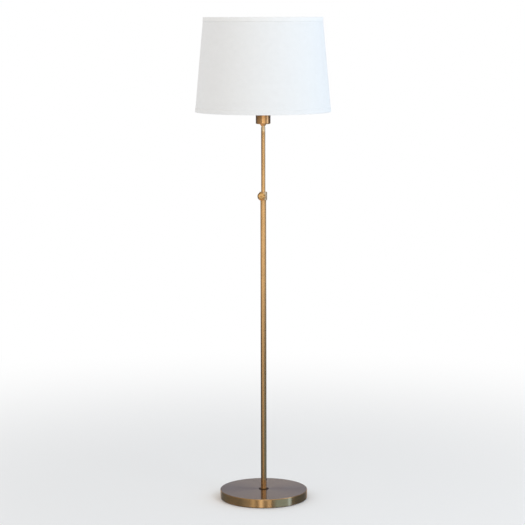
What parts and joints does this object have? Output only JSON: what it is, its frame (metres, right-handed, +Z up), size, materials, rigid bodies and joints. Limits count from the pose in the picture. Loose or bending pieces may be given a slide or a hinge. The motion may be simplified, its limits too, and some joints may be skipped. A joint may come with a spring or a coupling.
{
  "type": "floor lamp",
  "caption": "Adjustable floor lamp: round weighted foot, telescoping brass pole held by a side clamp knob, and a tapered white linen shade on a harp over a screw-base bulb.",
  "frame": {"origin": "on the floor, under the pole's axis, at the middle of the round foot", "axes": "+Z up along the pole; -Y towards the viewer of the picture; +X to that viewer's right; the cord inlet faces +Y"},
  "size_m": [0.4077, 0.4078, 1.4633],
  "materials": {
    "antique_brass": "satin",
    "dark_bronze": "satin",
    "plated_wire": "polished",
    "socket_brass": "satin",
    "zinc_steel": "satin",
    "cast_weight": "matte",
    "felt": "matte",
    "nylon": "satin",
    "black_plastic": "satin",
    "fibre": "matte",
    "bulb_metal": "satin",
    "bulb_housing": "satin",
    "bulb_opal": "satin",
    "linen": "matte",
    "styrene": "satin",
    "white_wire": "satin"
  },
  "bodies": {
    "stand": {"base_felt": "felt", "base_cover": "antique_brass", "base_weight": "cast_weight", "cord_bushing": "black_plastic", "base_nipple": "zinc_steel", "base_washer": "zinc_steel", "base_nut": "zinc_steel", "foot_ring": "dark_bronze", "foot_plug": "zinc_steel", "lower_tube": "antique_brass", "clamp_collar": "antique_brass"},
    "brake": {"brake_pad": "nylon"},
    "clamp": {"clamp_knob": "antique_brass", "clamp_screw": "zinc_steel"},
    "slider": {"stop_bush": "nylon", "guide_bush": "nylon"},
    "column": {"inner_tube": "antique_brass", "snap_rings": "zinc_steel", "upper_nipple": "zinc_steel", "neck_ring": "antique_brass", "cup_seat": "antique_brass", "socket_cup": "antique_brass", "cup_spacer": "zinc_steel", "harp_saddle": "plated_wire", "socket_cap": "socket_brass", "socket_shell": "socket_brass", "socket_liner": "fibre", "socket_body": "black_plastic", "screw_shell": "socket_brass", "centre_contact": "socket_brass", "bulb_cap": "bulb_metal", "bulb_body": "bulb_housing", "bulb_dome": "bulb_opal", "harp": "plated_wire", "harp_stud": "plated_wire", "shade_spider": "white_wire", "finial": "plated_wire", "shade_liner": "styrene", "shade_linen": "linen", "shade_top_ring": "white_wire", "shade_bottom_ring": "white_wire", "shade_top_trim": "linen", "shade_bottom_trim": "linen"},
    "key": {"switch_key": "black_plastic"},
    "sleeve_left": {"harp_sleeve_left": "plated_wire"},
    "sleeve_right": {"harp_sleeve_right": "plated_wire"}
  },
  "joints": [
    {"name": "brake_pad_travel", "type": "slide", "parent": "stand", "child": "brake", "axis": [-0.3584, -0.9336, 0], "range_m": [0, 0.0015]},
    {"name": "clamp_screw_turn", "type": "hinge", "parent": "brake", "child": "clamp", "pos_m": [0, 0, 0.9293], "axis": [-0.3584, -0.9336, 0], "range_deg": [0, 540]},
    {"name": "height_slide", "type": "slide", "parent": "stand", "child": "slider", "axis": [0, 0, 1], "range_m": [-0.195, 0.115]},
    {"name": "column_swivel", "type": "hinge", "parent": "slider", "child": "column", "pos_m": [0, 0, 0.9], "axis": [0, 0, 1], "range_deg": [-170, 170]},
    {"name": "key_turn", "type": "hinge", "parent": "column", "child": "key", "pos_m": [0, -0.02, 1.214], "axis": [0, -1, 0], "continuous": true},
    {"name": "sleeve_left_lift", "type": "slide", "parent": "column", "child": "sleeve_left", "axis": [0, 0, 1], "range_m": [0, 0.012]},
    {"name": "sleeve_right_lift", "type": "slide", "parent": "column", "child": "sleeve_right", "axis": [0, 0, 1], "range_m": [0, 0.012]}
  ],
  "couplings": [
    {"joint": "clamp_screw_turn", "follows": "brake_pad_travel", "rad_per_m": 6283.2}
  ]
}
